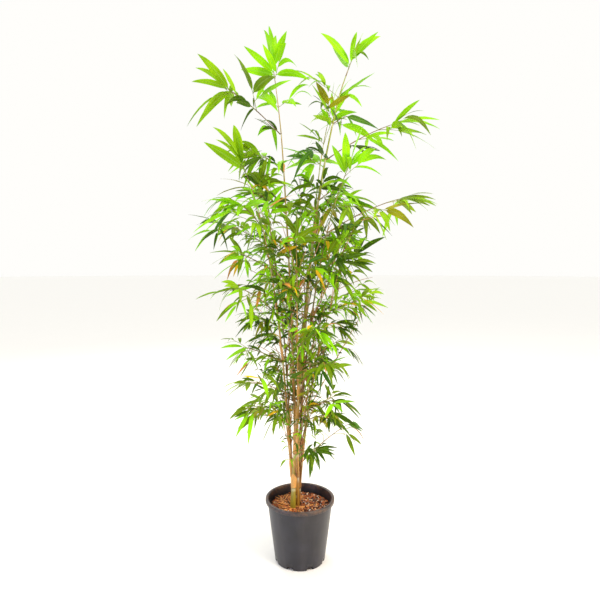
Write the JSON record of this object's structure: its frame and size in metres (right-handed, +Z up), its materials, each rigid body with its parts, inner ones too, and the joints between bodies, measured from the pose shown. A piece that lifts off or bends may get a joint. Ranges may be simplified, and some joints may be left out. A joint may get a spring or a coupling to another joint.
{
  "type": "potted bamboo",
  "caption": "Clump of slim leaning bamboo canes with sprays of narrow leaves, growing from bark mix in a round tapered nursery pot.",
  "frame": {"origin": "middle of the pot's flat underside, on the surface that the pot stands on", "axes": "+Z up along the canes; +Y away from the viewer of the picture; +X to the viewer's right"},
  "size_m": [0.6118, 0.4685, 1.2585],
  "materials": {
    "pot": "satin black moulded plastic",
    "soil": "damp bark and perlite potting mix",
    "cane": "smooth waxy yellow-green culm",
    "foliage": "thin matt green leaf"
  },
  "bodies": {
    "root": {"cane_front": "cane", "cane_left_back": "cane", "cane_left_front": "cane", "cane_main": "cane", "cane_right_back": "cane", "cane_right_front": "cane", "cane_right_low": "cane", "cane_tall": "cane", "foliage_front_1": "foliage", "foliage_front_2": "foliage", "foliage_front_3": "foliage", "foliage_front_4": "foliage", "foliage_front_tip": "foliage", "foliage_left_back_1": "foliage", "foliage_left_back_2": "foliage", "foliage_left_back_3": "foliage", "foliage_left_back_4": "foliage", "foliage_left_back_5": "foliage", "foliage_left_back_tip": "foliage", "foliage_left_front_1": "foliage", "foliage_left_front_2": "foliage", "foliage_left_front_3": "foliage", "foliage_left_front_4": "foliage", "foliage_left_front_5": "foliage", "foliage_left_front_tip": "foliage", "foliage_main_1": "foliage", "foliage_main_2": "foliage", "foliage_main_3": "foliage", "foliage_main_4": "foliage", "foliage_main_5": "foliage", "foliage_main_6": "foliage", "foliage_main_7": "foliage", "foliage_main_tip": "foliage", "foliage_right_back_1": "foliage", "foliage_right_back_2": "foliage", "foliage_right_back_3": "foliage", "foliage_right_back_4": "foliage", "foliage_right_back_5": "foliage", "foliage_right_back_tip": "foliage", "foliage_right_front_1": "foliage", "foliage_right_front_2": "foliage", "foliage_right_front_3": "foliage", "foliage_right_front_4": "foliage", "foliage_right_front_5": "foliage", "foliage_right_front_tip": "foliage", "foliage_right_low_1": "foliage", "foliage_right_low_2": "foliage", "foliage_right_low_3": "foliage", "foliage_right_low_4": "foliage", "foliage_right_low_tip": "foliage", "foliage_tall_1": "foliage", "foliage_tall_2": "foliage", "foliage_tall_3": "foliage", "foliage_tall_4": "foliage", "foliage_tall_5": "foliage", "foliage_tall_6": "foliage", "foliage_tall_7": "foliage", "foliage_tall_tip": "foliage", "pot": "pot", "soil": "soil"}
  },
  "joints": []
}
